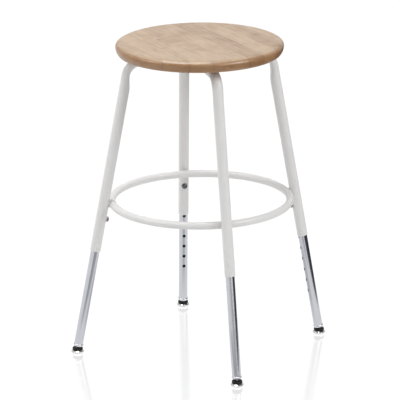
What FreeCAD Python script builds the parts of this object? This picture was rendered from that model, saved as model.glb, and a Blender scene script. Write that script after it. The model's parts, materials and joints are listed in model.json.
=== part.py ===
import FreeCAD, Part
import math
import os
import Sketcher

# Stool with a round wooden seat, four telescoping tube legs and a foot ring.
# Millimetres, Z up, floor at Z = 0, seat axis on the Z axis, front towards -Y.

# Seat
seatDiameter = 355         # across the seat
seatThickness = 23.6       # thickness of the seat
seatHeight = 676           # floor to the top of the seat
edgeTight = 6.5            # radius of the seat edge next to its widest line
edgeMiddle = 12            # radius of the seat edge above that
edgeEasing = 30            # radius where the seat edge eases into the flat top
edgeTightTurn = 45         # degrees from level to where the tight radius ends
edgeMiddleTurn = 70        # degrees from level to where the middle radius ends
edgeInset = 5.2            # widest line to the flat underside, across
plateWidth = 132           # side of the square plate under the seat
plateThickness = 4.8       # thickness of the plate under the seat
plateCorner = 12           # corner radius of the plate
seatScrewRadius = 66       # seat axis to each seat screw
seatScrewShank = 4.8       # diameter of a seat screw
seatScrewLength = 16       # seat screw below its head
seatScrewHead = 9.6        # diameter of a seat screw head
seatScrewHeadHeight = 2.8  # height of a seat screw head
screwSlot = 1.3            # width of a seat screw's slot
screwSlotDepth = 1.2       # depth of a seat screw's slot
pilotClearance = 0.1       # radial room round a seat screw

# Legs
legTube = 22.2             # outside diameter of a leg tube
legWall = 1.5              # wall of a leg tube
legBend = 34               # radius of the bend at the top of a leg
legEnd = 232               # floor point to the lower end of a leg tube, along the leg
legInnerEnd = 30           # seat axis to the inner end of a leg's level run
crushDepth = 8.3           # depth of the flattened inner side of the bend
crushSide = 0.8            # swelling of the bend to either side
crushSpread = 1.0          # angular width of the flattened side, radians
crushLead = 33             # length of the flattening below the bend
crushTail = 14             # length of the flattening past the bend
legStub = 16               # plain length that joins the bend to the straight tube

# Foot ring
ringHeight = 329           # floor to the centre of the foot ring
ringRadius = 190.1         # centreline radius of the foot ring
ringTube = 15.9            # outside diameter of the foot ring tube
ringWall = 1.5             # wall of the foot ring tube
ringVent = 4               # vent hole on the underside of the foot ring
weldGap = 0.05             # gap between the foot ring and a leg at the weld
weldBead = 5.8             # radius of the bead at a ring joint
weldRoot = 2               # open root at the middle of a ring joint
topWeldBead = 2.3          # radius of the bead under the plate
topWeldOffset = 6.2        # bead line to the centreline of a level run
topWeldDrop = 0.7          # bead line below the plate
topWeldStart = 34          # seat axis to the inner end of a bead under the plate
topWeldLength = 28         # length of a bead under the plate

# Height adjustment
insertTube = 19.05         # outside diameter of a telescoping insert
insertWall = 1.2           # wall of an insert
insertEnd = 18             # floor point to the lower end of an insert tube
insertTop = 344            # floor point to the upper end of an insert tube
holePitch = 25             # distance between adjustment holes
holeCount = 9              # adjustment holes in each insert
holeDiameter = 7.4         # diameter of an adjustment hole
lockAlong = 304            # floor point to the lock screw, along the leg
lockShank = 6              # diameter of a lock screw
lockHead = 11.2            # diameter of a lock screw head
lockHeadHeight = 3         # height of a lock screw head
lockHeadDome = 2.2         # rise of the domed part of a lock screw head
lockRecess = 3.4           # width of the driver recess in a lock screw head
lockRecessDepth = 1.5      # depth of the driver recess
edgeBreak = 0.5            # bevel on the small turned pieces
lockTipClearance = 0.3     # lock screw tip to the insert, backed off
lockTravel = 1.6           # lock screw travel from backed off to locked
lockBore = 6.1             # bore of the threaded bush
bushFlange = 13.6          # diameter of a bush flange
bushFlangeHeight = 1.2     # height of a bush flange above the leg
bushBarrel = 8.6           # diameter of the bush barrel through the leg wall
bushFit = 0.05             # radial room round the bush barrel

# Feet
ferruleLip = 21.7          # diameter of the rolled lip of a ferrule
ferruleLipAlong = 19       # floor point to the middle of the rolled lip
ferruleLipHeight = 3.2     # height of the rolled lip
ferruleNeck = 19.4         # diameter of the ferrule below its lip
ferruleEnd = 15.3          # floor point to the lower end of the ferrule
ferrulePlugTop = 34        # floor point to the top of the ferrule's plug
ferruleSocketFit = 0.02    # radial room between the insert and the lip round it
ferruleFit = 0.12          # radial room round the plug in the insert
ballHeight = 8             # floor to the centre of the swivel ball
ballDiameter = 9           # diameter of the swivel ball
ballClearance = 0.3        # radial room round the swivel ball
stemDiameter = 6           # diameter of the stem above the ball
stemFit = 0.05             # radial room round the stem in the ferrule
stemTop = 31               # floor point to the top of the stem
glideDiameter = 27.5       # widest diameter of the glide base
glideContact = 23          # diameter of the flat under the glide base
glideRimHeight = 4.4       # floor to the top of the glide's rim
glideBevelHeight = 2.6     # floor to the top of the bevel under the rim
glideRimRound = 0.9        # rounding of the glide's rim
glideShoulder = 21.4       # diameter of the glide base where the cushion sits
glideShoulderHeight = 6    # floor to the seat of the cushion
socketBoss = 14            # diameter of the socket boss inside the cushion
socketMouth = 2            # height of the socket mouth above the ball centre
cushionDiameter = 22.3     # diameter of the black cushion
cushionTop = 12.6          # floor to the top of the cushion
cushionMouth = 10.4        # diameter of the opening in the cushion
cushionRound = 2.4         # upper rounding of the cushion
cushionFoot = 0.8          # lower rounding of the cushion
cushionFit = 0.05          # radial room between the cushion and its boss

# Direction, splay and sideways lean of each leg, in degrees
rightHeading = 3           # heading of the right leg
backHeading = 88.1         # heading of the back leg
leftHeading = 177          # heading of the left leg
frontHeading = 272.5       # heading of the front leg
rightSplay = 9.7           # splay of the right leg
backSplay = 9.6            # splay of the back leg
leftSplay = 10.9           # splay of the left leg
frontSplay = 10.3          # splay of the front leg
rightLean = 0.0            # lean of the right leg about its ring joint
backLean = -0.91           # lean of the back leg about its ring joint
leftLean = 0.0             # lean of the left leg about its ring joint
frontLean = 0.77           # lean of the front leg about its ring joint

# Every size above becomes a row of the sheet, under its own name.
doc = FreeCAD.newDocument("Stool")
sizes = doc.addObject("Spreadsheet::Sheet", "Sizes")
named = {name: amount for name, amount in globals().items() if type(amount) in (int, float)}
for row, (name, amount) in enumerate(named.items(), 1):
    sizes.set("A%d" % row, name)
    sizes.set("B%d" % row, str(amount))
    sizes.setAlias("B%d" % row, name)
doc.recompute()


def value(alias):
    return float(sizes.get(alias))


legNames = ["right", "back", "left", "front"]
xAxis = FreeCAD.Vector(1, 0, 0)
yAxis = FreeCAD.Vector(0, 1, 0)
zAxis = FreeCAD.Vector(0, 0, 1)


def bind(thing, prop, formula):
    thing.setExpression(prop, formula)


def primitive(kind, label, **formulas):
    thing = doc.addObject("Part::" + kind, label)
    for prop, formula in formulas.items():
        bind(thing, prop, formula)
    return thing


def combine(kind, label, base, tool):
    thing = doc.addObject("Part::" + kind, label)
    thing.Base = base
    thing.Tool = tool
    return thing


def group(label, members):
    thing = doc.addObject("Part::Compound", label)
    thing.Links = members
    return thing


def originPlane(body, role):
    return [plane for plane in body.Origin.OriginFeatures if plane.Role == role][0]


def newBody(label):
    body = doc.addObject("PartDesign::Body", label)
    body.Label = label
    return body


def newSketch(body, name, role):
    sketch = body.newObject("Sketcher::SketchObject", name)
    sketch.AttachmentSupport = (originPlane(body, role), "")
    sketch.MapMode = "FlatFace"
    return sketch


def dimension(sketch, kind, geometry, point, formula):
    amount = sketch.evalExpression(formula)
    amount = float(getattr(amount, "Value", amount))
    if abs(amount) < 1e-9:
        axis = -2 if kind == "DistanceX" else -1
        sketch.addConstraint(Sketcher.Constraint("PointOnObject", geometry, point, axis))
        return
    index = sketch.addConstraint(Sketcher.Constraint(kind, -1, 1, geometry, point, amount))
    sketch.setExpression("Constraints[%d]" % index, formula)


# A closed profile: each corner is a pair of formulas for its position. A third
# and a fourth entry make the edge that leaves the corner an arc, given by the
# formula of its radius and by the side that it bulges to.
def profile(body, name, role, corners):
    sketch = newSketch(body, name, role)
    places = []
    for corner in corners:
        pair = [sketch.evalExpression(formula) for formula in corner[:2]]
        pair = [float(getattr(amount, "Value", amount)) for amount in pair]
        places.append(FreeCAD.Vector(pair[0], pair[1], 0))
    starts = []
    for index, corner in enumerate(corners):
        begin = places[index]
        end = places[(index + 1) % len(places)]
        if len(corner) == 2:
            geometry = sketch.addGeometry(Part.LineSegment(begin, end), False)
            starts.append((geometry, 1, 2))
            continue
        radius = sketch.evalExpression(corner[2])
        radius = float(getattr(radius, "Value", radius))
        chord = end - begin
        reach = math.sqrt(max(radius ** 2 - (chord.Length / 2) ** 2, 0))
        side = FreeCAD.Vector(-chord.y, chord.x, 0).normalize()
        turn = 1 if corner[3] == "left" else -1
        centre = (begin + end) * 0.5 - side * (turn * reach)
        middle = centre + side * (turn * radius)
        # A sketch keeps every arc anticlockwise, so a clockwise one is drawn backwards.
        if turn < 0:
            geometry = sketch.addGeometry(Part.Arc(begin, middle, end), False)
            starts.append((geometry, 1, 2))
        else:
            geometry = sketch.addGeometry(Part.Arc(end, middle, begin), False)
            starts.append((geometry, 2, 1))
    for index, corner in enumerate(corners):
        geometry, first, last = starts[index]
        following, itsFirst, itsLast = starts[(index + 1) % len(starts)]
        sketch.addConstraint(
            Sketcher.Constraint("Coincident", geometry, last, following, itsFirst))
        dimension(sketch, "DistanceX", geometry, first, corner[0])
        dimension(sketch, "DistanceY", geometry, first, corner[1])
        if len(corner) > 2:
            radius = sketch.evalExpression(corner[2])
            radius = float(getattr(radius, "Value", radius))
            held = sketch.addConstraint(Sketcher.Constraint("Radius", geometry, radius))
            sketch.setExpression("Constraints[%d]" % held, corner[2])
    return sketch


def circleSketch(body, name, role, across, upward, diameter):
    sketch = newSketch(body, name, role)
    place = [sketch.evalExpression(formula) for formula in (across, upward, diameter)]
    place = [float(getattr(amount, "Value", amount)) for amount in place]
    centre = FreeCAD.Vector(place[0], place[1], 0)
    geometry = sketch.addGeometry(Part.Circle(centre, zAxis, place[2] / 2), False)
    dimension(sketch, "DistanceX", geometry, 3, across)
    dimension(sketch, "DistanceY", geometry, 3, upward)
    held = sketch.addConstraint(Sketcher.Constraint("Diameter", geometry, place[2]))
    sketch.setExpression("Constraints[%d]" % held, diameter)
    return sketch


def revolve(body, name, sketch):
    feature = body.newObject("PartDesign::Revolution", name)
    feature.Profile = sketch
    feature.ReferenceAxis = (sketch, ["V_Axis"])
    feature.Angle = 360
    return feature


# Each leg has a frame of its own: its origin is where the leg's axis meets the
# floor, its Z runs up the leg and its X points away from the seat axis.
def splayOf(leg):
    return math.radians(value(leg + "Splay"))


def floorRadius(leg):
    reach = (value("ringTube") + value("legTube")) / 2 + value("weldGap")
    splay = splayOf(leg)
    return value("ringRadius") + reach / math.cos(splay) + value("ringHeight") * math.tan(splay)


def headingOf(leg):
    return FreeCAD.Rotation(zAxis, value(leg + "Heading"))


def leanOf(leg):
    return FreeCAD.Placement(FreeCAD.Vector(), FreeCAD.Rotation(xAxis, value(leg + "Lean")),
                             FreeCAD.Vector(0, 0, value("ringHeight")))


def planeOf(leg):
    return FreeCAD.Placement(FreeCAD.Vector(), headingOf(leg)).multiply(leanOf(leg))


def legPlace(leg):
    splay = FreeCAD.Rotation(yAxis, -value(leg + "Splay"))
    out = FreeCAD.Placement(FreeCAD.Vector(floorRadius(leg), 0, 0), splay)
    return planeOf(leg).multiply(out)


# The glide stands level, with its origin on the floor under the swivel ball.
def glidePlace(leg):
    along = value("ballHeight") / math.cos(splayOf(leg))
    ball = legPlace(leg).multVec(FreeCAD.Vector(0, 0, along))
    return FreeCAD.Placement(FreeCAD.Vector(ball.x, ball.y, 0), headingOf(leg))


# Seat: a turned round board, its edge fullest a little below the top.
seat = newBody("seat")
tightTurn = "Sizes.edgeTightTurn * 1 deg"
middleTurn = "Sizes.edgeMiddleTurn * 1 deg"
seatRim = "Sizes.seatDiameter / 2"
tightAcross = "Sizes.edgeTight * (1 - cos(%s))" % tightTurn
tightRise = "Sizes.edgeTight * sin(%s)" % tightTurn
middleAcross = "Sizes.edgeMiddle * (cos(%s) - cos(%s))" % (tightTurn, middleTurn)
middleRise = "Sizes.edgeMiddle * (sin(%s) - sin(%s))" % (middleTurn, tightTurn)
easingAcross = "Sizes.edgeEasing * cos(%s)" % middleTurn
easingRise = "Sizes.edgeEasing * (1 - sin(%s))" % middleTurn
widest = "(Sizes.seatHeight - %s - %s - %s)" % (tightRise, middleRise, easingRise)
underside = "(Sizes.seatHeight - Sizes.seatThickness)"
lowerRound = "((Sizes.edgeInset ^ 2 + (%s - %s) ^ 2) / (2 * Sizes.edgeInset))" % (widest, underside)
seatOutline = profile(seat, "SeatOutline", "XZ_Plane", [
    ("0", underside),
    (seatRim + " - Sizes.edgeInset", underside, lowerRound, "right"),
    (seatRim, widest, "Sizes.edgeTight", "right"),
    (seatRim + " - " + tightAcross, widest + " + " + tightRise, "Sizes.edgeMiddle", "right"),
    (seatRim + " - " + tightAcross + " - " + middleAcross, "Sizes.seatHeight - " + easingRise,
     "Sizes.edgeEasing", "right"),
    (seatRim + " - " + tightAcross + " - " + middleAcross + " - " + easingAcross,
     "Sizes.seatHeight"),
    ("0", "Sizes.seatHeight")])
revolve(seat, "SeatRound", seatOutline)
pilot = circleSketch(seat, "SeatPilot", "XY_Plane",
                     "Sizes.seatScrewRadius * cos(45 deg)",
                     "Sizes.seatScrewRadius * sin(45 deg)",
                     "Sizes.seatScrewShank + 2 * Sizes.pilotClearance")
pilotHole = seat.newObject("PartDesign::Pocket", "SeatPilotHole")
pilotHole.Profile = pilot
pilotHole.Reversed = True
bind(pilotHole, "Length", "Sizes.seatHeight - Sizes.seatThickness + Sizes.seatScrewLength")
pilotHoles = seat.newObject("PartDesign::PolarPattern", "SeatPilotHoles")
pilotHoles.Originals = [pilotHole]
pilotHoles.Axis = (pilot, ["N_Axis"])
pilotHoles.Angle = 360
pilotHoles.Occurrences = 4
seat.Tip = pilotHoles

# Plate under the seat, that the legs are welded to
plate = newBody("seat_plate")
half = "Sizes.plateWidth / 2"
cut = "(Sizes.plateWidth / 2 - Sizes.plateCorner)"
corner = "Sizes.plateCorner"
plateOutline = profile(plate, "PlateOutline", "XY_Plane", [
    ("-" + cut, "-" + half), (cut, "-" + half, corner, "right"),
    (half, "-" + cut), (half, cut, corner, "right"),
    (cut, half), ("-" + cut, half, corner, "right"),
    ("-" + half, cut), ("-" + half, "-" + cut, corner, "right")])
bind(plateOutline, "AttachmentOffset.Base.z",
     "Sizes.seatHeight - Sizes.seatThickness - Sizes.plateThickness")
platePad = plate.newObject("PartDesign::Pad", "PlatePad")
platePad.Profile = plateOutline
bind(platePad, "Length", "Sizes.plateThickness")
plateHole = circleSketch(plate, "PlateHoleOutline", "XY_Plane",
                         "Sizes.seatScrewRadius * cos(45 deg)",
                         "Sizes.seatScrewRadius * sin(45 deg)",
                         "Sizes.seatScrewShank + 4 * Sizes.pilotClearance")
plateCut = plate.newObject("PartDesign::Pocket", "PlateHole")
plateCut.Profile = plateHole
plateCut.Reversed = True
bind(plateCut, "Length", "Sizes.seatHeight - Sizes.seatThickness + 1")
plateHoles = plate.newObject("PartDesign::PolarPattern", "PlateHoles")
plateHoles.Originals = [plateCut]
plateHoles.Axis = (plateHole, ["N_Axis"])
plateHoles.Angle = 360
plateHoles.Occurrences = 4
plate.Tip = plateHoles

# Seat screws, one in each corner of the plate
seatScrews = []
for index in range(4):
    name = "SeatScrew%d" % index
    shank = primitive("Cylinder", name + "Shank",
                      Radius="Sizes.seatScrewShank / 2",
                      Height="Sizes.seatScrewLength + Sizes.plateThickness")
    under = "Sizes.seatHeight - Sizes.seatThickness - Sizes.plateThickness"
    bind(shank, "Placement.Base.z", under)
    head = primitive("Cylinder", name + "Head", Radius="Sizes.seatScrewHead / 2",
                     Height="Sizes.seatScrewHeadHeight")
    bind(head, "Placement.Base.z", under + " - Sizes.seatScrewHeadHeight")
    slot = primitive("Box", name + "Slot", Length="Sizes.seatScrewHead * 2",
                     Width="Sizes.screwSlot", Height="Sizes.screwSlotDepth")
    bind(slot, "Placement.Base.x", "-Sizes.seatScrewHead")
    bind(slot, "Placement.Base.y", "-Sizes.screwSlot / 2")
    bind(slot, "Placement.Base.z", under + " - Sizes.seatScrewHeadHeight")
    slotted = combine("Cut", name + "Slotted", head, slot)
    screw = combine("Fuse", name, shank, slotted)
    turned = 45 + 90 * index
    bind(screw, "Placement.Base.x", "Sizes.seatScrewRadius * cos(%d deg)" % turned)
    bind(screw, "Placement.Base.y", "Sizes.seatScrewRadius * sin(%d deg)" % turned)
    bind(screw, "Placement.Rotation.Angle", "%d deg" % (turned + 20 * index))
    screw.Placement.Rotation = FreeCAD.Rotation(zAxis, turned + 20 * index)
    seatScrews.append(screw)
seatScrewSet = group("seat_screws", seatScrews)

# Foot ring of bent tube, with a vent on its underside
ringOuter = primitive("Torus", "RingOuter", Radius1="Sizes.ringRadius",
                      Radius2="Sizes.ringTube / 2")
ringInner = primitive("Torus", "RingInner", Radius1="Sizes.ringRadius",
                      Radius2="Sizes.ringTube / 2 - Sizes.ringWall")
ringTube = combine("Cut", "RingTube", ringOuter, ringInner)
vent = primitive("Cylinder", "RingVentHole", Radius="Sizes.ringVent / 2",
                 Height="Sizes.ringTube / 2")
bind(vent, "Placement.Base.x", "Sizes.ringRadius * cos(45 deg)")
bind(vent, "Placement.Base.y", "Sizes.ringRadius * sin(45 deg)")
bind(vent, "Placement.Base.z", "-Sizes.ringTube / 2 - 1")
footRing = combine("Cut", "foot_ring", ringTube, vent)
bind(footRing, "Placement.Base.z", "Sizes.ringHeight")

# Leg tube: straight below, turned in under the seat, with the inner side of the
# bend flattened. The lofted skin follows the leg's own centreline.
legRadius = value("legTube") / 2
legInside = legRadius - value("legWall")
runHeight = value("seatHeight") - value("seatThickness") - value("plateThickness") - legRadius


class Centreline:
    def __init__(self, leg):
        splay = splayOf(leg)
        self.bend = value("legBend")
        self.turn = math.pi / 2 - splay
        self.up = FreeCAD.Vector(-math.sin(splay), 0, math.cos(splay))
        self.inward = FreeCAD.Vector(-math.cos(splay), 0, -math.sin(splay))
        self.floor = FreeCAD.Vector(floorRadius(leg), 0, 0)
        meeting = self.floor + self.up * (runHeight / math.cos(splay))
        self.start = meeting - self.up * (self.bend * math.tan(self.turn / 2))
        self.centre = self.start + self.inward * self.bend
        self.length = self.bend * self.turn

    # Point, inward normal and direction at a distance along the bend
    def at(self, along):
        if along <= 0:
            return self.start + self.up * along, self.inward, self.up
        if along >= self.length:
            point = self.centre + zAxis * self.bend - xAxis * (along - self.length)
            return point, zAxis * -1, xAxis * -1
        swept = along / self.bend
        direction = self.up * math.cos(swept) + self.inward * math.sin(swept)
        normal = self.inward * math.cos(swept) - self.up * math.sin(swept)
        return self.centre - normal * self.bend, normal, direction


def crushedSection(point, normal, direction, crush, radius):
    if crush < 1e-6:
        return Part.Wire([Part.Circle(point, direction, radius).toShape()])
    points = []
    count = 20
    for index in range(count):
        turn = 2 * math.pi * index / count
        fromInside = turn if turn <= math.pi else turn - 2 * math.pi
        dent = value("crushDepth") * math.exp(-(fromInside / value("crushSpread")) ** 2)
        swell = value("crushSide") * math.sin(fromInside) ** 2
        reach = radius + crush * (swell - dent)
        across = normal * (reach * math.cos(turn)) + yAxis * (reach * math.sin(turn))
        points.append(point + across)
    curve = Part.BSplineCurve()
    curve.interpolate(points, PeriodicFlag=True)
    return Part.Wire([curve.toShape()])


def tubeSolid(line, radius, extra):
    first = -value("crushLead")
    last = line.length + value("crushTail")
    stub = value("legStub")
    steps = 12
    wires = []
    for along in (first - stub, first - stub / 2):
        wires.append(crushedSection(*line.at(along), 0, radius))
    for index in range(steps + 1):
        part = index / steps
        crush = math.sin(math.pi * part) ** 2
        wires.append(crushedSection(*line.at(first + (last - first) * part), crush, radius))
    for along in (last + stub / 2, last + stub):
        wires.append(crushedSection(*line.at(along), 0, radius))
    skin = Part.makeLoft(wires, True, False, False)
    bottom = line.floor + line.up * (value("legEnd") - extra)
    lower = line.at(first - stub)[0]
    upper = line.at(last + stub)[0]
    inner = FreeCAD.Vector(value("legInnerEnd") - extra, 0, runHeight)
    straight = Part.makeCylinder(radius, (lower - bottom).Length, bottom, lower - bottom)
    run = Part.makeCylinder(radius, (upper - inner).Length, inner, upper - inner)
    return skin.fuse([straight, run])


# Every leg is made facing +X, leaned about its ring joint and turned to its heading.
legs = {}
outsides = {}
for leg in legNames:
    line = Centreline(leg)
    outside = tubeSolid(line, legRadius, 0)
    outsides[leg] = outside.copy()
    outsides[leg].Placement = leanOf(leg)
    bushHole = Part.makeCylinder(
        value("bushBarrel") / 2 + value("bushFit"), legRadius + 1,
        line.floor + line.up * value("lockAlong"), line.inward)
    tube = outside.cut(tubeSolid(line, legInside, 1)).cut(bushHole)
    legs[leg] = doc.addObject("Part::Feature", "leg_" + leg)
    legs[leg].Shape = tube
    legs[leg].Placement = planeOf(leg)

# Weld beads between the foot ring and the legs
ringSolid = Part.makeTorus(value("ringRadius"), value("ringTube") / 2,
                           FreeCAD.Vector(0, 0, value("ringHeight")), zAxis)
beads = []
for leg in legNames:
    line = Centreline(leg)
    outward = line.inward * -1
    ringCentre = FreeCAD.Vector(value("ringRadius"), 0, value("ringHeight"))
    touch = ringCentre + outward * (value("ringTube") / 2)
    ball = Part.makeSphere(value("weldBead"), touch)
    root = Part.makeCylinder(value("weldRoot"), 2 * value("weldBead"),
                             touch - outward * value("weldBead"), outward)
    bead = ball.cut(ringSolid).cut(outsides[leg]).cut(root)
    solids = sorted(bead.Solids, key=lambda solid: solid.Volume)
    piece = doc.addObject("Part::Feature", "RingBead_" + leg)
    piece.Shape = solids[-1]
    piece.Placement = FreeCAD.Placement(FreeCAD.Vector(), headingOf(leg))
    beads.append(piece)
ringWelds = group("ring_welds", beads)

# Weld beads between the level runs and the plate
underPlate = value("seatHeight") - value("seatThickness") - value("plateThickness")
topBeads = []
for leg in legNames:
    aside = (value("ringHeight") - runHeight) * math.sin(math.radians(value(leg + "Lean")))
    for side in (-1, 1):
        start = FreeCAD.Vector(value("topWeldStart"), aside + side * value("topWeldOffset"),
                               underPlate - value("topWeldDrop"))
        rod = Part.makeCylinder(value("topWeldBead"), value("topWeldLength"), start, xAxis)
        ends = [Part.makeSphere(value("topWeldBead"), start),
                Part.makeSphere(value("topWeldBead"), start + xAxis * value("topWeldLength"))]
        above = Part.makeBox(4 * value("topWeldLength"), 4 * legRadius, 2 * legRadius,
                             FreeCAD.Vector(0, -2 * legRadius, underPlate))
        bead = rod.fuse(ends).cut(above).cut(outsides[leg])
        solids = sorted(bead.Solids, key=lambda solid: solid.Volume)
        piece = doc.addObject("Part::Feature", "TopBead_%s_%d" % (leg, side + 1))
        piece.Shape = solids[-1]
        piece.Placement = FreeCAD.Placement(FreeCAD.Vector(), headingOf(leg))
        topBeads.append(piece)
topWelds = group("seat_plate_welds", topBeads)

# Threaded bushes for the lock screws, on the inner side of each leg. Local Z of
# a bush or a lock screw points from the leg's axis towards the seat axis.
def lockPlace(leg):
    turned = FreeCAD.Placement(FreeCAD.Vector(0, 0, value("lockAlong")),
                               FreeCAD.Rotation(yAxis, -90))
    return legPlace(leg).multiply(turned)


bushes = []
for leg in legNames:
    name = "LockBush_" + leg
    barrel = primitive("Cylinder", name + "Barrel", Radius="Sizes.bushBarrel / 2",
                       Height="Sizes.legTube / 2 + Sizes.bushFlangeHeight / 2")
    flange = primitive("Cylinder", name + "Flange", Radius="Sizes.bushFlange / 2",
                       Height="Sizes.legTube / 2 + Sizes.bushFlangeHeight")
    tubeOutside = primitive("Cylinder", name + "Tube", Radius="Sizes.legTube / 2",
                            Height="Sizes.legTube * 2")
    tubeOutside.Placement.Rotation = FreeCAD.Rotation(yAxis, 90)
    bind(tubeOutside, "Placement.Base.x", "-Sizes.legTube")
    tubeInside = primitive("Cylinder", name + "TubeBore",
                           Radius="Sizes.legTube / 2 - Sizes.legWall",
                           Height="Sizes.legTube * 2")
    tubeInside.Placement.Rotation = FreeCAD.Rotation(yAxis, 90)
    bind(tubeInside, "Placement.Base.x", "-Sizes.legTube")
    saddle = combine("Cut", name + "Saddle", flange, tubeOutside)
    spigot = combine("Cut", name + "Spigot", barrel, tubeInside)
    blank = combine("Fuse", name + "Blank", saddle, spigot)
    bore = primitive("Cylinder", name + "Bore", Radius="Sizes.lockBore / 2",
                     Height="Sizes.legTube")
    bush = combine("Cut", name, blank, bore)
    bush.Placement = lockPlace(leg)
    bushes.append(bush)
bushSet = group("lock_bushes", bushes)

# Lock screws: backed off by their travel, so that their tips clear the inserts
headSeat = ("(Sizes.legTube / 2 + Sizes.bushFlangeHeight + Sizes.lockTravel)")
tip = "(Sizes.insertTube / 2 + Sizes.lockTipClearance)"
headRound = "((Sizes.lockHead / 2) ^ 2 + Sizes.lockHeadDome ^ 2) / (2 * Sizes.lockHeadDome)"
for leg in legNames:
    lock = newBody("lock_screw_" + leg)
    outline = profile(lock, "LockOutline_" + leg, "XZ_Plane", [
        ("0", tip),
        ("Sizes.lockShank / 2 - Sizes.edgeBreak", tip),
        ("Sizes.lockShank / 2", tip + " + Sizes.edgeBreak"),
        ("Sizes.lockShank / 2", headSeat),
        ("Sizes.lockHead / 2", headSeat),
        ("Sizes.lockHead / 2", headSeat + " + Sizes.lockHeadHeight - Sizes.lockHeadDome",
         headRound, "right"),
        ("0", headSeat + " + Sizes.lockHeadHeight")])
    revolve(lock, "LockTurned_" + leg, outline)
    recess = newSketch(lock, "LockRecess_" + leg, "XY_Plane")
    width = value("lockRecess")
    points = [FreeCAD.Vector(width / math.sqrt(3) * math.cos(math.radians(60 * step)),
                             width / math.sqrt(3) * math.sin(math.radians(60 * step)), 0)
              for step in range(6)]
    edges = [recess.addGeometry(Part.LineSegment(points[step], points[(step + 1) % 6]), False)
             for step in range(6)]
    guide = recess.addGeometry(Part.Circle(FreeCAD.Vector(), zAxis, width / math.sqrt(3)), True)
    recess.addConstraint(Sketcher.Constraint("Coincident", guide, 3, -1, 1))
    for step in range(6):
        recess.addConstraint(
            Sketcher.Constraint("Coincident", edges[step], 2, edges[(step + 1) % 6], 1))
        recess.addConstraint(Sketcher.Constraint("PointOnObject", edges[step], 1, guide))
    for step in range(5):
        recess.addConstraint(Sketcher.Constraint("Equal", edges[step], edges[step + 1]))
    recess.addConstraint(Sketcher.Constraint("PointOnObject", edges[0], 1, -1))
    held = recess.addConstraint(Sketcher.Constraint("Radius", guide, width / math.sqrt(3)))
    recess.setExpression("Constraints[%d]" % held, "Sizes.lockRecess / sqrt(3)")
    bind(recess, "AttachmentOffset.Base.z", headSeat + " + Sizes.lockHeadHeight")
    socket = lock.newObject("PartDesign::Pocket", "LockSocket_" + leg)
    socket.Profile = recess
    bind(socket, "Length", "Sizes.lockRecessDepth")
    lock.Tip = socket
    lock.Placement = lockPlace(leg)

# Telescoping inserts, with a row of adjustment holes down their inner side
for leg in legNames:
    insert = newBody("insert_" + leg)
    wallOutline = profile(insert, "InsertOutline_" + leg, "XZ_Plane", [
        ("Sizes.insertTube / 2 - Sizes.insertWall", "Sizes.insertEnd"),
        ("Sizes.insertTube / 2", "Sizes.insertEnd"),
        ("Sizes.insertTube / 2", "Sizes.insertTop"),
        ("Sizes.insertTube / 2 - Sizes.insertWall", "Sizes.insertTop")])
    revolve(insert, "InsertTube_" + leg, wallOutline)
    holeSketch = circleSketch(insert, "InsertHoleOutline_" + leg, "YZ_Plane", "0",
                              "Sizes.lockAlong", "Sizes.holeDiameter")
    hole = insert.newObject("PartDesign::Pocket", "InsertHole_" + leg)
    hole.Profile = holeSketch
    bind(hole, "Length", "Sizes.insertTube")
    holes = insert.newObject("PartDesign::LinearPattern", "InsertHoles_" + leg)
    holes.Originals = [hole]
    holes.Direction = (holeSketch, ["V_Axis"])
    holes.Reversed = True
    bind(holes, "Length", "Sizes.holePitch * (Sizes.holeCount - 1)")
    bind(holes, "Occurrences", "Sizes.holeCount")
    insert.Tip = holes
    insert.Placement = legPlace(leg)

# Chrome ferrules on the ends of the inserts
lipReach = "((Sizes.ferruleLip - Sizes.ferruleNeck) / 2)"
lipRound = ("(" + lipReach + " ^ 2 + (Sizes.ferruleLipHeight / 2) ^ 2) / (2 * "
            + lipReach + ")")
lipLow = "Sizes.ferruleLipAlong - Sizes.ferruleLipHeight / 2"
lipHigh = "Sizes.ferruleLipAlong + Sizes.ferruleLipHeight / 2"
plugRadius = "Sizes.insertTube / 2 - Sizes.insertWall - Sizes.ferruleFit"
stemBore = "Sizes.stemDiameter / 2 + Sizes.stemFit"
for leg in legNames:
    ferrule = newBody("ferrule_" + leg)
    outline = profile(ferrule, "FerruleOutline_" + leg, "XZ_Plane", [
        (stemBore, "Sizes.ferruleEnd"),
        ("Sizes.ferruleNeck / 2 - Sizes.edgeBreak", "Sizes.ferruleEnd"),
        ("Sizes.ferruleNeck / 2", "Sizes.ferruleEnd + Sizes.edgeBreak"),
        ("Sizes.ferruleNeck / 2", lipLow, lipRound, "right"),
        ("Sizes.ferruleNeck / 2", lipHigh),
        ("Sizes.insertTube / 2 + Sizes.ferruleSocketFit", lipHigh),
        ("Sizes.insertTube / 2 + Sizes.ferruleSocketFit", "Sizes.insertEnd"),
        (plugRadius, "Sizes.insertEnd"),
        (plugRadius, "Sizes.ferrulePlugTop"),
        (stemBore, "Sizes.ferrulePlugTop")])
    revolve(ferrule, "FerruleTurned_" + leg, outline)
    ferrule.Placement = legPlace(leg)

# Swivel stems: a shank in the ferrule with a ball at its lower end
neck = "sqrt((Sizes.ballDiameter / 2) ^ 2 - (Sizes.stemDiameter / 2) ^ 2)"
for leg in legNames:
    stem = newBody("glide_stem_" + leg)
    ball = "Sizes.ballHeight / cos(Sizes.%sSplay * 1 deg)" % leg
    outline = profile(stem, "StemOutline_" + leg, "XZ_Plane", [
        ("0", ball + " - Sizes.ballDiameter / 2", "Sizes.ballDiameter / 2", "right"),
        ("Sizes.stemDiameter / 2", ball + " + " + neck),
        ("Sizes.stemDiameter / 2", "Sizes.stemTop - Sizes.edgeBreak"),
        ("Sizes.stemDiameter / 2 - Sizes.edgeBreak", "Sizes.stemTop"),
        ("0", "Sizes.stemTop")])
    revolve(stem, "StemTurned_" + leg, outline)
    stem.Placement = legPlace(leg)

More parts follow.
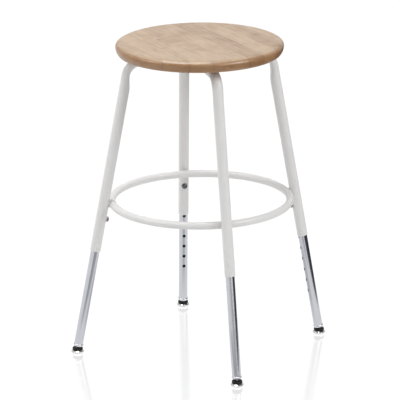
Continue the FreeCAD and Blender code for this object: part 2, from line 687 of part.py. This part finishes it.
# Glide bases with their ball sockets, and the black cushions on them
socket = "(Sizes.ballDiameter / 2 + Sizes.ballClearance)"
mouthRadius = "sqrt(" + socket + " ^ 2 - Sizes.socketMouth ^ 2)"
rim = "Sizes.glideRimRound"
for leg in legNames:
    base = newBody("glide_base_" + leg)
    outline = profile(base, "GlideOutline_" + leg, "XZ_Plane", [
        ("0", "0"),
        ("Sizes.glideContact / 2", "0"),
        ("Sizes.glideDiameter / 2", "Sizes.glideBevelHeight"),
        ("Sizes.glideDiameter / 2", "Sizes.glideRimHeight - " + rim, rim, "right"),
        ("Sizes.glideDiameter / 2 - " + rim, "Sizes.glideRimHeight"),
        ("Sizes.glideShoulder / 2", "Sizes.glideShoulderHeight"),
        ("Sizes.socketBoss / 2", "Sizes.glideShoulderHeight"),
        ("Sizes.socketBoss / 2", "Sizes.ballHeight + Sizes.socketMouth"),
        (mouthRadius, "Sizes.ballHeight + Sizes.socketMouth", socket, "left"),
        ("0", "Sizes.ballHeight - " + socket)])
    revolve(base, "GlideTurned_" + leg, outline)
    base.Placement = glidePlace(leg)
    cushion = newBody("glide_cushion_" + leg)
    outline = profile(cushion, "CushionOutline_" + leg, "XZ_Plane", [
        ("Sizes.socketBoss / 2 + Sizes.cushionFit", "Sizes.glideShoulderHeight"),
        ("Sizes.cushionDiameter / 2 - Sizes.cushionFoot", "Sizes.glideShoulderHeight",
         "Sizes.cushionFoot", "right"),
        ("Sizes.cushionDiameter / 2", "Sizes.glideShoulderHeight + Sizes.cushionFoot"),
        ("Sizes.cushionDiameter / 2", "Sizes.cushionTop - Sizes.cushionRound",
         "Sizes.cushionRound", "right"),
        ("Sizes.cushionDiameter / 2 - Sizes.cushionRound", "Sizes.cushionTop"),
        ("Sizes.cushionMouth / 2", "Sizes.cushionTop"),
        ("Sizes.cushionMouth / 2", "Sizes.ballHeight + Sizes.socketMouth"),
        ("Sizes.socketBoss / 2 + Sizes.cushionFit", "Sizes.ballHeight + Sizes.socketMouth")])
    revolve(cushion, "CushionTurned_" + leg, outline)
    cushion.Placement = glidePlace(leg)

doc.recompute()

# Every sub-part is written to a file of its own name.
single = ["seat", "seat_plate", "seat_screws", "seat_plate_welds", "foot_ring",
          "ring_welds", "lock_bushes"]
perLeg = ["leg", "lock_screw", "insert", "ferrule", "glide_stem", "glide_base",
          "glide_cushion"]
labels = single + [piece + "_" + leg for piece in perLeg for leg in legNames]
for thing in doc.Objects:
    if "Invalid" in thing.State or "Error" in thing.State:
        raise RuntimeError("feature failed: " + thing.Label)
os.makedirs("parts", exist_ok=True)
for label in labels:
    shape = doc.getObjectsByLabel(label)[0].Shape
    if shape.isNull() or not shape.isValid() or not shape.Solids:
        raise RuntimeError("bad shape: " + label)
    shape.exportStep("parts/" + label + ".step")
    box = shape.BoundBox
    print(label, len(shape.Solids), round(shape.Volume, 1),
          [round(edge, 2) for edge in (box.XMin, box.XMax, box.YMin, box.YMax, box.ZMin, box.ZMax)])
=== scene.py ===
import bpy, bmesh, math, json
from mathutils import Matrix, Vector


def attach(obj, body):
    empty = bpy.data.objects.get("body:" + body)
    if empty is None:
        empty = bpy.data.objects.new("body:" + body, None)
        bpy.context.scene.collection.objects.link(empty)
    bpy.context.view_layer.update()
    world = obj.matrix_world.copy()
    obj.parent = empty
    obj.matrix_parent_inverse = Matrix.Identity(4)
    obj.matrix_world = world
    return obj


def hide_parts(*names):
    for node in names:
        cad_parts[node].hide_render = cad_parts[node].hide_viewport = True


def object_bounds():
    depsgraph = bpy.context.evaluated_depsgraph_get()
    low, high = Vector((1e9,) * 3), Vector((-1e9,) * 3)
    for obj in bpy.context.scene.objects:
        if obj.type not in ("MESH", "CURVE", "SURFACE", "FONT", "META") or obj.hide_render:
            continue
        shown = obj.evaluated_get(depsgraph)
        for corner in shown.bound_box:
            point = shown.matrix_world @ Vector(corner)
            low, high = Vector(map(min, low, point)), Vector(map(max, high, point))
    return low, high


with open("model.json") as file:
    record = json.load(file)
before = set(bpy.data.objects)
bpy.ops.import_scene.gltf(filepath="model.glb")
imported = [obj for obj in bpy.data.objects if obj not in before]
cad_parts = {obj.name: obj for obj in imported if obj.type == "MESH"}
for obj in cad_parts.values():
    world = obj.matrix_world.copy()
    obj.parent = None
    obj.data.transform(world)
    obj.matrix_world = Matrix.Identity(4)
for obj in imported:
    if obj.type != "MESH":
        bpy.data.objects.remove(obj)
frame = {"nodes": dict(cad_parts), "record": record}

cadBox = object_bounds()
seatTop = cadBox[1][2]
nodes = frame["nodes"]
legNames = ["right", "back", "left", "front"]
scene = bpy.context.scene
print("frame loaded:", len(nodes), "nodes")


# node helpers
def placeNode(tree, kind, inputs=None, **settings):
    node = tree.nodes.new(kind)
    for name, setting in settings.items():
        setattr(node, name, setting)
    for name, source in (inputs or {}).items():
        socket = node.inputs[name]
        if isinstance(source, bpy.types.NodeSocket):
            tree.links.new(source, socket)
        else:
            socket.default_value = source
    return node


def addNode(tree, kind, inputs=None, **settings):
    return placeNode(tree, "ShaderNode" + kind, inputs, **settings)


def maths(tree, operation, first, second=0.0, third=0.0, clamp=False):
    node = addNode(tree, "Math", {0: first, 1: second, 2: third}, operation=operation, use_clamp=clamp)
    return node.outputs[0]


def mixColour(tree, amount, first, second):
    # a plain colour is given as red, green and blue
    first, second = [(*source, 1) if isinstance(source, tuple) else source for source in (first, second)]
    node = addNode(tree, "Mix", {"Factor": amount, 6: first, 7: second}, data_type="RGBA")
    return node.outputs[2]


def remap(tree, source, low, high, outLow=0.0, outHigh=1.0, smooth=False):
    node = addNode(tree, "MapRange", {"Value": source, "From Min": low, "From Max": high,
                                      "To Min": outLow, "To Max": outHigh},
                   interpolation_type="SMOOTHSTEP" if smooth else "LINEAR")
    return node.outputs["Result"]


def swing(tree, pattern, share, base, clamp=False):
    # a pattern's swing about its middle, added to a base
    return maths(tree, "MULTIPLY_ADD", maths(tree, "SUBTRACT", pattern, 0.5), share, base, clamp)


def stretch(tree, where, scale):
    return addNode(tree, "Mapping", {"Vector": where, "Scale": scale}).outputs[0]


def noise(tree, where, scale, detail, **more):
    inputs = {"Vector": where, "Scale": scale, "Detail": detail, **more}
    return addNode(tree, "TexNoise", inputs).outputs["Fac"]


def objectPlace(tree):
    return addNode(tree, "TexCoord").outputs["Object"]


def addBump(tree, shader, height, strength, depth):
    bump = addNode(tree, "Bump", {"Height": height, "Strength": strength, "Distance": depth})
    tree.links.new(bump.outputs[0], shader.inputs["Normal"])


def clearTree(holder):
    holder.use_nodes = True
    holder.node_tree.nodes.clear()
    return holder.node_tree


def newMaterial(name):
    material = bpy.data.materials.new(name)
    tree = clearTree(material)
    output = addNode(tree, "OutputMaterial")
    shader = addNode(tree, "BsdfPrincipled")
    tree.links.new(shader.outputs["BSDF"], output.inputs["Surface"])
    return material, tree, shader


# wood, with lengths in metres and depths measured down from the seat's top
woodLook = {
    "grainTurn": 16.0,              # degrees that the staves turn from the Y axis
    "paleWood": (0.400, 0.282, 0.180),
    "midWood": (0.245, 0.145, 0.076),
    "darkWood": (0.150, 0.076, 0.034),
    "edgePale": (0.335, 0.180, 0.078),
    "edgeWood": (0.245, 0.118, 0.046),
    # painted shade: colour of the dark line just under the arris
    "arrisShade": (0.17, 0.085, 0.035),
    "poreWood": (0.120, 0.058, 0.026),
    "glueWood": (0.11, 0.055, 0.025),
    "pitWood": (0.035, 0.016, 0.008),
    "firstStave": 0.30,             # tone of the stave before the first joint
    # where each joint lies across the grain, and the tone of the stave after it
    "staves": [(-0.143, 0.28), (-0.101, 0.20), (-0.058, 0.30), (0.022, 0.72), (0.063, 0.16),
               (0.104, 0.36), (0.142, 0.26)],
    "glueWidth": (0.0002, 0.0008),  # from a joint to where its line fades and ends
    "staveShift": (3.1, 1.7),       # how far a stave's tone moves its grain, across and along
    # place and size of each knot
    "knots": [(-0.080, 0.035, 0.011), (-0.060, -0.012, 0.008), (0.118, -0.052, 0.007)],
    "knotDepth": 0.002,
    "knotSwirl": 0.030,
    "grainStretch": 0.13,
    "poreStretch": 0.035,
    "driftScale": 14.0,
    "figureScale": 24.0,
    "figureBend": 11.0,
    "fibreScale": 150.0,
    "blotchScale": 22.0,
    "poreScale": 900.0,
    "toneShare": 0.95,
    "toneStart": -0.14,
    "figureShare": 0.16,
    "driftShare": 1.7,
    "blotchShare": 1.3,
    "fibreShare": 0.55,
    "heartShare": 0.7,
    "darkFrom": (0.72, 1.25),       # amounts where the dark wood starts and is full
    "edgeDepth": (0.0022, 0.0060),  # depths where the edge's colour starts and is full
    "arrisDepth": 0.0033,
    "arrisWidth": (0.0004, 0.0015),
    "streakScale": 60.0,
    "streakRise": 3.2,              # how flat the streaks of the end grain are
    "streakFrom": (0.42, 0.85),
    "pitScale": 55.0,
    "pitSize": (0.045, 0.085),
    "roughness": (0.28, 0.16),      # least, and what the fibres add
    "varnish": (0.35, 0.16),        # weight and roughness
}


def staveNodes(tree, across):
    look = woodLook
    tone = previous = look["firstStave"]
    lines = 0.0
    for place, stave in look["staves"]:
        beyond = maths(tree, "GREATER_THAN", across, place)
        tone = maths(tree, "MULTIPLY_ADD", beyond, stave - previous, tone)
        previous = stave
        gap = maths(tree, "ABSOLUTE", maths(tree, "SUBTRACT", across, place))
        lines = maths(tree, "MAXIMUM", lines, remap(tree, gap, *look["glueWidth"], 1, 0))
    return tone, lines


def knotNodes(tree, where):
    look = woodLook
    swirl = heart = 0.0
    for knotX, knotY, spread in look["knots"]:
        knot = (knotX, knotY, seatTop - look["knotDepth"])
        distance = addNode(tree, "VectorMath", {0: where, 1: knot}, operation="DISTANCE").outputs["Value"]
        around = remap(tree, distance, spread * 0.5, spread * 4.0, look["knotSwirl"], 0, smooth=True)
        inside = remap(tree, distance, spread * 0.15, spread * 0.9, 1, 0, smooth=True)
        swirl = maths(tree, "ADD", swirl, around)
        heart = maths(tree, "MAXIMUM", heart, inside)
    return swirl, heart


def woodMaterial():
    look = woodLook
    material, tree, shader = newMaterial("SeatWood")
    where = objectPlace(tree)
    turned = addNode(tree, "Mapping", {"Vector": where, "Rotation": (0, 0, math.radians(look["grainTurn"]))},
                     vector_type="TEXTURE").outputs[0]
    across, along, up = addNode(tree, "SeparateXYZ", {0: turned}).outputs
    tone, lines = staveNodes(tree, across)
    swirl, heart = knotNodes(tree, where)

    # the grain breaks at the joints and swirls round the knots
    shiftAcross, shiftAlong = look["staveShift"]
    shifted = addNode(tree, "CombineXYZ", {0: maths(tree, "MULTIPLY_ADD", tone, shiftAcross, across),
                                           1: maths(tree, "MULTIPLY_ADD", tone, shiftAlong, along),
                                           2: up}).outputs[0]
    sideStep = addNode(tree, "CombineXYZ", {0: swirl}).outputs[0]
    bent = addNode(tree, "VectorMath", {0: shifted, 1: sideStep}, operation="ADD").outputs[0]
    grain = stretch(tree, bent, (1, look["grainStretch"], 1))
    drift = noise(tree, grain, look["driftScale"], 4.0)
    fibre = noise(tree, grain, look["fibreScale"], 4.0)
    figure = addNode(tree, "TexWave", {"Vector": grain, "Scale": look["figureScale"],
                                       "Distortion": look["figureBend"], "Detail": 3.0, "Detail Scale": 1.2},
                     wave_type="BANDS", bands_direction="X").outputs["Fac"]
    blotch = noise(tree, bent, look["blotchScale"], 3.0, Distortion=0.8)
    pores = noise(tree, stretch(tree, shifted, (1, look["poreStretch"], 1)), look["poreScale"], 2.0)
    amount = maths(tree, "MULTIPLY_ADD", tone, look["toneShare"], look["toneStart"])
    amount = maths(tree, "MULTIPLY_ADD", figure, look["figureShare"], amount)
    amount = swing(tree, drift, look["driftShare"], amount)
    amount = swing(tree, blotch, look["blotchShare"], amount)
    amount = swing(tree, fibre, look["fibreShare"], amount, clamp=True)
    colour = mixColour(tree, amount, look["paleWood"], look["midWood"])
    dark = maths(tree, "ADD", amount, maths(tree, "MULTIPLY", heart, look["heartShare"]))
    colour = mixColour(tree, remap(tree, dark, *look["darkFrom"]), colour, look["darkWood"])

    # the turned edge is browner, with end grain, and a dark line of painted shade marks its arris, where the
    # round turns steeply down
    depth = maths(tree, "SUBTRACT", seatTop, up)
    edge = remap(tree, depth, *look["edgeDepth"], smooth=True)
    streak = noise(tree, stretch(tree, where, (1, 1, look["streakRise"])), look["streakScale"], 4.0,
                   Roughness=0.65)
    streak = maths(tree, "ADD", streak, maths(tree, "MULTIPLY", amount, 0.35))
    edgeColour = mixColour(tree, remap(tree, streak, *look["streakFrom"]), look["edgePale"], look["edgeWood"])
    colour = mixColour(tree, maths(tree, "MULTIPLY", edge, 0.95), colour, edgeColour)
    # painted shade: a dark line along the arris stands in for the shade where the edge turns steeply down
    offArris = maths(tree, "ABSOLUTE", maths(tree, "SUBTRACT", depth, look["arrisDepth"]))
    arris = remap(tree, offArris, *look["arrisWidth"], 1, 0)
    colour = mixColour(tree, maths(tree, "MULTIPLY", arris, 0.42), colour, look["arrisShade"])

    # pores, glue lines, and a few open pits on the edge
    poreMask = remap(tree, pores, 0.56, 0.70)
    colour = mixColour(tree, maths(tree, "MULTIPLY", poreMask, 0.40), colour, look["poreWood"])
    colour = mixColour(tree, maths(tree, "MULTIPLY", lines, 0.55), colour, look["glueWood"])
    pits = addNode(tree, "TexVoronoi", {"Vector": where, "Scale": look["pitScale"]}).outputs["Distance"]
    pit = maths(tree, "MULTIPLY", remap(tree, pits, *look["pitSize"], 1, 0), edge)
    colour = mixColour(tree, maths(tree, "MULTIPLY", pit, 0.85), colour, look["pitWood"])
    tree.links.new(colour, shader.inputs["Base Color"])

    leastRough, fibreRough = look["roughness"]
    tree.links.new(maths(tree, "MULTIPLY_ADD", fibre, fibreRough, leastRough), shader.inputs["Roughness"])
    height = maths(tree, "MULTIPLY_ADD", poreMask, -0.6, maths(tree, "MULTIPLY", lines, -1.2))
    height = maths(tree, "MULTIPLY_ADD", fibre, 0.3, height)
    height = maths(tree, "MULTIPLY_ADD", pit, -2.0, height)
    addBump(tree, shader, height, 0.3, 0.0004)
    coatWeight, coatRough = look["varnish"]
    shader.inputs["Coat Weight"].default_value = coatWeight
    shader.inputs["Coat Roughness"].default_value = coatRough
    return material


# coat, cushions and metals
coatLook = {
    "tones": ((0.690, 0.684, 0.676), (0.720, 0.715, 0.710)),
    "roughness": (0.30, 0.40),
    "orangePeel": 0.12,
}
cushionLook = {
    "tones": ((0.006, 0.006, 0.007), (0.012, 0.012, 0.014)),
    "roughness": (0.36, 0.50),
    "shine": 0.25,
}
# each slot's name, two tones, roughness and the strength of its fine scratches
metalLooks = {
    "insert_chrome": ("InsertChrome", (0.66, 0.67, 0.70), (0.58, 0.59, 0.62), 0.16, 0.02),
    "ferrule_chrome": ("FerruleChrome", (0.78, 0.79, 0.81), (0.70, 0.71, 0.74), 0.08, 0),
    "glide_nickel": ("GlideNickel", (0.80, 0.79, 0.78), (0.70, 0.69, 0.68), 0.12, 0),
    "zinc_steel": ("ZincSteel", (0.55, 0.55, 0.56), (0.45, 0.45, 0.46), 0.3, 0),
    "lock_steel": ("LockSteel", (0.22, 0.22, 0.23), (0.13, 0.13, 0.14), 0.20, 0),
    "bush_steel": ("BushSteel", (0.62, 0.61, 0.59), (0.52, 0.51, 0.50), 0.28, 0),
}


def mottledMaterial(name, look, scale):
    material, tree, shader = newMaterial(name)
    mottle = noise(tree, objectPlace(tree), scale, 2.0)
    tree.links.new(mixColour(tree, mottle, *look["tones"]), shader.inputs["Base Color"])
    tree.links.new(remap(tree, mottle, 0.3, 0.7, *look["roughness"]), shader.inputs["Roughness"])
    return material, tree, shader


def coatMaterial():
    material, tree, shader = mottledMaterial("WhiteCoat", coatLook, 60.0)
    addBump(tree, shader, noise(tree, objectPlace(tree), 1400.0, 2.0), coatLook["orangePeel"], 0.0002)
    return material


def cushionMaterial():
    material, tree, shader = mottledMaterial("BlackCushion", cushionLook, 300.0)
    shader.inputs["Specular IOR Level"].default_value = cushionLook["shine"]
    return material


def metalMaterial(name, colour, darker, roughness, scratches):
    material, tree, shader = newMaterial(name)
    where = objectPlace(tree)
    cloud = noise(tree, where, 45.0, 3.0)
    fine = noise(tree, where, 700.0, 2.0)
    tree.links.new(mixColour(tree, cloud, colour, darker), shader.inputs["Base Color"])
    rough = remap(tree, fine, 0.3, 0.7, roughness * 0.8, roughness * 1.3)
    tree.links.new(rough, shader.inputs["Roughness"])
    shader.inputs["Metallic"].default_value = 1.0
    if scratches:
        addBump(tree, shader, fine, scratches, 0.0001)
    return material


looks = {"seat_wood": woodMaterial(), "white_coat": coatMaterial(), "black_cushion": cushionMaterial()}
for slot, metal in metalLooks.items():
    looks[slot] = metalMaterial(*metal)
for part in frame["record"]["subparts"]:
    finishes = nodes[part["node"]].data.materials
    finishes.clear()
    finishes.append(looks[part["material_slot"]])
print("materials assigned")


# weld beads with their ripples, in metres
weldLook = {
    "ringRadius": 0.1901,       # centreline of the foot ring
    "ringTube": 0.00795,        # radius of the foot ring's tube
    "legTube": 0.0111,          # radius of a leg's tube
    "ringHeight": 0.329,
    "ringLoop": 0.0054,         # half width of the bead's loop round a ring joint
    "ringBead": 0.0019,
    "loopPoints": 36,
    "plateBead": 0.0023,
    "plateUnder": 0.6476,
    "plateStart": 0.035,        # seat axis to the inner end of a bead under the plate
    "plateLength": 0.026,
    "plateSteps": 8,
    "plateSpread": 0.0066,      # from the middle of a leg's level run to its beads
    "plateDrop": 0.0012,
    "beadSides": 14,
    "ripplePitch": 0.0017,
    "rippleSteps": 6.0,         # cuts along each ripple
    "rippleDepth": 0.13,        # share of a bead's radius
}


def rippleTree():
    tree = bpy.data.node_groups.new("WeldRipple", "GeometryNodeTree")
    tree.interface.new_socket("Geometry", in_out="INPUT", socket_type="NodeSocketGeometry")
    for name in ("Bead Radius", "Ripple Pitch", "Ripple Depth"):
        tree.interface.new_socket(name, in_out="INPUT", socket_type="NodeSocketFloat")
    tree.interface.new_socket("Finish", in_out="INPUT", socket_type="NodeSocketMaterial")
    tree.interface.new_socket("Geometry", in_out="OUTPUT", socket_type="NodeSocketGeometry")
    given = tree.nodes.new("NodeGroupInput").outputs
    result = tree.nodes.new("NodeGroupOutput")

    def step(kind, inputs, **settings):
        return placeNode(tree, "GeometryNode" + kind, inputs, **settings).outputs[0]

    path = step("MeshToCurve", {"Mesh": given["Geometry"]})
    cut = maths(tree, "DIVIDE", given["Ripple Pitch"], weldLook["rippleSteps"])
    fine = step("ResampleCurve", {"Curve": path, "Length": cut}, mode="LENGTH")
    along = placeNode(tree, "GeometryNodeSplineParameter").outputs["Length"]
    turns = maths(tree, "MULTIPLY", maths(tree, "DIVIDE", along, given["Ripple Pitch"]), 2 * math.pi)
    wave = maths(tree, "MULTIPLY", maths(tree, "SINE", turns), given["Ripple Depth"])
    outline = step("CurvePrimitiveCircle", {"Resolution": weldLook["beadSides"],
                                            "Radius": given["Bead Radius"]})
    swept = step("CurveToMesh", {"Curve": fine, "Profile Curve": outline,
                                 "Scale": maths(tree, "ADD", wave, 1.0), "Fill Caps": True})
    whole = step("RealizeInstances", {"Geometry": swept})
    finished = step("SetMaterial", {"Geometry": whole, "Material": given["Finish"]})
    tree.links.new(finished, result.inputs[0])
    return tree


def weldBeads(name, paths, closed, radius, replaced):
    points = []
    edges = []
    for path in paths:
        first = len(points)
        points += path
        edges += [(first + index, first + index + 1) for index in range(len(path) - 1)]
        if closed:
            edges.append((len(points) - 1, first))
    route = bpy.data.meshes.new(name + "Route")
    route.from_pydata(points, edges, [])
    host = bpy.data.objects.new(name + "Route", route)
    scene.collection.objects.link(host)
    bead = host.modifiers.new("Ripple", "NODES")
    bead.node_group = ripples
    given = {"Bead Radius": radius, "Ripple Pitch": weldLook["ripplePitch"],
             "Ripple Depth": weldLook["rippleDepth"], "Finish": looks["white_coat"]}
    for item in ripples.interface.items_tree:
        if item.in_out == "INPUT" and item.name in given:
            bead[item.identifier] = given[item.name]
    graph = bpy.context.evaluated_depsgraph_get()
    mesh = bpy.data.meshes.new_from_object(host.evaluated_get(graph), depsgraph=graph)
    bpy.data.objects.remove(host)
    mesh.materials.clear()
    mesh.materials.append(looks["white_coat"])
    mesh.shade_smooth()
    welded = bpy.data.objects.new(name, mesh)
    scene.collection.objects.link(welded)
    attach(welded, "frame")
    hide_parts(replaced)


def ringPath(upLeg, heading, tangent):
    # the loop runs midway between the ring's tube and the leg's tube
    look = weldLook
    touch = heading * (look["ringRadius"] + look["ringTube"]) + Vector((0, 0, look["ringHeight"]))
    loop = []
    for index in range(look["loopPoints"]):
        angle = 2 * math.pi * index / look["loopPoints"]
        aside = look["ringLoop"] * math.cos(angle)
        rise = look["ringLoop"] * math.sin(angle)
        ringDrop = look["ringTube"] - math.sqrt(look["ringTube"] ** 2 - rise ** 2)
        legDrop = look["legTube"] - math.sqrt(look["legTube"] ** 2 - aside ** 2)
        loop.append(touch + tangent * aside + upLeg * rise + heading * ((legDrop - ringDrop) / 2))
    return loop


def platePath(heading, tangent, aside):
    look = weldLook
    begin = tangent * aside + Vector((0, 0, look["plateUnder"] - look["plateDrop"]))
    return [begin + heading * (look["plateStart"] + look["plateLength"] * index / look["plateSteps"])
            for index in range(look["plateSteps"] + 1)]


def onLeg(ball, upLeg, height):
    return ball + upLeg * ((height - ball.z) / upLeg.z)


ripples = rippleTree()
joints = {joint["name"]: joint for joint in frame["record"]["behaviour"]["joints"]}
ringPaths = []
platePaths = []
for leg in legNames:
    upLeg = Vector(joints["insert_slide_" + leg]["axis"]).normalized()
    ball = Vector(joints["glide_tilt_" + leg]["pos_m"])
    atRing = onLeg(ball, upLeg, weldLook["ringHeight"])
    heading = Vector((atRing.x, atRing.y, 0)).normalized()
    tangent = Vector((-heading.y, heading.x, 0))
    ringPaths.append(ringPath(upLeg, heading, tangent))
    # a leaning leg's level run lies beside the seat's axis
    levelRun = onLeg(ball, upLeg, weldLook["plateUnder"] - weldLook["legTube"]).dot(tangent)
    for side in (-1, 1):
        platePaths.append(platePath(heading, tangent, levelRun + side * weldLook["plateSpread"]))
weldBeads("RingWeldBeads", ringPaths, True, weldLook["ringBead"], "ring_welds")
weldBeads("PlateWeldBeads", platePaths, False, weldLook["plateBead"], "seat_plate_welds")
print("weld beads rippled")


# floor, world and lamps
studio = {
    "floorWhite": 1.12,         # light that the floor adds of its own towards the camera
    "floorShade": 0.07,         # how much lamp light and shadow the camera sees on the floor
    "floorMirror": 0.36,        # how much of the floor is a soft mirror
    "mirrorBlur": 0.13,
    "floorBounce": 0.80,        # how pale the floor is to all but the camera
    "floorReach": 14,
    "worldStrength": 0.62,
    "towardsCamera": (-0.210, -0.978),
    # what polished metal sees of the floor, with a painted shadow under the seat: its colours, and where they
    # start and are full
    "paleFloor": (0.95, 0.95, 0.96),
    "greyFloor": (0.44, 0.44, 0.48),
    "greyNear": (0.22, 0.50),   # towards the camera
    "greyLeft": (-0.75, -0.45),
    "greyRight": (0.42, 0.30),
    "darkFloor": (0.05, 0.05, 0.065),
    # painted shadow: colour of the seat's shadow in the floor that metal sees
    "darkSide": (0.50, 0.72),   # to the camera's right, where the white sweep ends
    "shadeFloor": (0.25, 0.25, 0.28),
    "seatShade": (0.05, 0.24),  # radius of the shade under the seat, full and faded
    "shadeAmount": 0.5,
    # what stands round the stool, by its direction in turns to the right of the camera
    "room": [(0.00, 0.75), (0.17, 0.67), (0.25, 0.62), (0.36, 0.42), (0.50, 0.52), (0.545, 0.72),
             (0.575, 1.35), (0.64, 1.30), (0.67, 0.45), (0.72, 0.10), (0.84, 0.12), (0.88, 0.60),
             (1.00, 0.75)],
    # place, height that it looks at, and power of each lamp
    "lamps": {"KeyLamp": ((-2.6, -0.1, 2.35), 0.5, 19.0),
              "FillLamp": ((2.0, -1.7, 2.35), 0.5, 33.0),
              "OverheadLamp": ((-0.3, 0.2, 2.6), 0.6, 31.0)},
    "lampSize": 1.2,
}


def sideways(tree, place):
    nearX, nearY = studio["towardsCamera"]
    towards = addNode(tree, "VectorMath", {0: place, 1: (nearX, nearY, 0)}, operation="DOT_PRODUCT")
    aside = addNode(tree, "VectorMath", {0: place, 1: (-nearY, nearX, 0)}, operation="DOT_PRODUCT")
    return towards.outputs["Value"], aside.outputs["Value"]


def sweepTree():
    look = studio
    group = bpy.data.node_groups.new("SweepSeenInMetal", "ShaderNodeTree")
    group.interface.new_socket("Place", in_out="INPUT", socket_type="NodeSocketVector")
    group.interface.new_socket("Light", in_out="OUTPUT", socket_type="NodeSocketColor")
    place = group.nodes.new("NodeGroupInput").outputs["Place"]
    result = group.nodes.new("NodeGroupOutput")
    towards, aside = sideways(group, place)
    near = remap(group, towards, *look["greyNear"], smooth=True)
    middle = maths(group, "MULTIPLY", remap(group, aside, *look["greyLeft"], smooth=True),
                   remap(group, aside, *look["greyRight"], smooth=True))
    grey = mixColour(group, maths(group, "MULTIPLY", near, middle), look["paleFloor"], look["greyFloor"])
    reach = addNode(group, "VectorMath", {0: place}, operation="LENGTH").outputs["Value"]
    # painted shadow: the floor that metal sees is darker under the seat
    shade = remap(group, reach, *look["seatShade"], look["shadeAmount"], 0, smooth=True)
    shaded = mixColour(group, shade, grey, look["shadeFloor"])
    ended = remap(group, aside, *look["darkSide"], smooth=True)
    group.links.new(mixColour(group, ended, shaded, look["darkFloor"]), result.inputs["Light"])
    return group


def floorMaterial():
    look = studio
    material = bpy.data.materials.new("StudioFloor")
    tree = clearTree(material)
    output = addNode(tree, "OutputMaterial")
    room = addNode(tree, "Group", node_tree=sweepTree())
    tree.links.new(objectPlace(tree), room.inputs["Place"])
    path = addNode(tree, "LightPath").outputs
    # the camera sees white with soft mirror images
    faint = addNode(tree, "BsdfDiffuse", {"Color": (*[look["floorShade"]] * 3, 1)})
    glow = addNode(tree, "Emission", {"Color": (1, 1, 1, 1), "Strength": look["floorWhite"]})
    shown = addNode(tree, "AddShader", {0: faint.outputs[0], 1: glow.outputs[0]})
    gloss = addNode(tree, "BsdfGlossy", {"Color": (1, 1, 1, 1), "Roughness": look["mirrorBlur"]})
    front = addNode(tree, "MixShader", {0: look["floorMirror"], 1: shown.outputs[0], 2: gloss.outputs[0]})
    # metal sees the sweep, and other light meets a plain pale floor
    diffuse = addNode(tree, "BsdfDiffuse", {"Color": (*[look["floorBounce"]] * 3, 1)})
    metal = addNode(tree, "Emission", {"Color": room.outputs["Light"], "Strength": 1.0})
    bounced = addNode(tree, "MixShader", {0: path["Is Glossy Ray"], 1: diffuse.outputs[0],
                                          2: metal.outputs[0]})
    whole = addNode(tree, "MixShader", {0: path["Is Camera Ray"], 1: bounced.outputs[0],
                                        2: front.outputs[0]})
    tree.links.new(whole.outputs[0], output.inputs["Surface"])
    return material


def buildFloor():
    mesh = bpy.data.meshes.new("Floor")
    shape = bmesh.new()
    bmesh.ops.create_grid(shape, x_segments=1, y_segments=1, size=studio["floorReach"])
    shape.to_mesh(mesh)
    shape.free()
    mesh.materials.append(floorMaterial())
    floor = bpy.data.objects.new("Floor", mesh)
    scene.collection.objects.link(floor)


def buildWorld():
    world = bpy.data.worlds.new("Studio")
    scene.world = world
    tree = clearTree(world)
    output = addNode(tree, "OutputWorld")
    path = addNode(tree, "LightPath").outputs
    towards, aside = sideways(tree, addNode(tree, "TexCoord").outputs["Generated"])
    turned = maths(tree, "MULTIPLY_ADD", maths(tree, "ARCTAN2", aside, towards), 0.5 / math.pi, 0.5)
    ring = addNode(tree, "ValToRGB", {"Fac": turned})
    stops = ring.color_ramp.elements
    while len(stops) < len(studio["room"]):
        stops.new(0.5)
    for stop, (position, light) in zip(stops, studio["room"]):
        stop.position = position
        stop.color = (light, light, light, 1)
    plain = (studio["worldStrength"],) * 3
    around = mixColour(tree, path["Is Glossy Ray"], plain, ring.outputs["Color"])
    seen = maths(tree, "MAXIMUM", path["Is Camera Ray"], path["Is Transmission Ray"])
    light = mixColour(tree, seen, around, (1, 1, 1))
    background = addNode(tree, "Background", {"Color": light, "Strength": 1.0})
    tree.links.new(background.outputs[0], output.inputs["Surface"])


def areaLamp(name, place, aimHeight, power):
    lamp = bpy.data.lights.new(name, "AREA")
    lamp.shape = "RECTANGLE"
    lamp.size = lamp.size_y = studio["lampSize"]
    lamp.energy = power
    holder = bpy.data.objects.new(name, lamp)
    scene.collection.objects.link(holder)
    holder.location = place
    aim = Vector((0, 0, aimHeight)) - Vector(place)
    holder.rotation_euler = aim.to_track_quat("-Z", "Y").to_euler()


buildFloor()
buildWorld()
for name, lamp in studio["lamps"].items():
    areaLamp(name, *lamp)
print("studio built")


# camera
cameraLook = {
    "place": (-1.3635, -6.3182, 2.3141),
    "aim": (0.0164, 0.0858, 0.300),
    "roll": 0.51,               # degrees, right side up
    "lens": 285.2,
    "sensor": 36,
    "reach": 100,
}
camera = bpy.data.objects.new("Camera", bpy.data.cameras.new("Camera"))
scene.collection.objects.link(camera)
camera.data.sensor_width = cameraLook["sensor"]
camera.data.lens = cameraLook["lens"]
camera.data.clip_end = cameraLook["reach"]
back = (Vector(cameraLook["place"]) - Vector(cameraLook["aim"])).normalized()
right = Vector((0, 0, 1)).cross(back).normalized()
upward = back.cross(right)
roll = math.radians(cameraLook["roll"])
rolledRight = right * math.cos(roll) - upward * math.sin(roll)
rolledUp = right * math.sin(roll) + upward * math.cos(roll)
turn = Matrix((rolledRight, rolledUp, back)).transposed()
camera.matrix_world = Matrix.Translation(cameraLook["place"]) @ turn.to_4x4()
scene.camera = camera
scene.view_settings.view_transform = "Standard"
print("camera set")
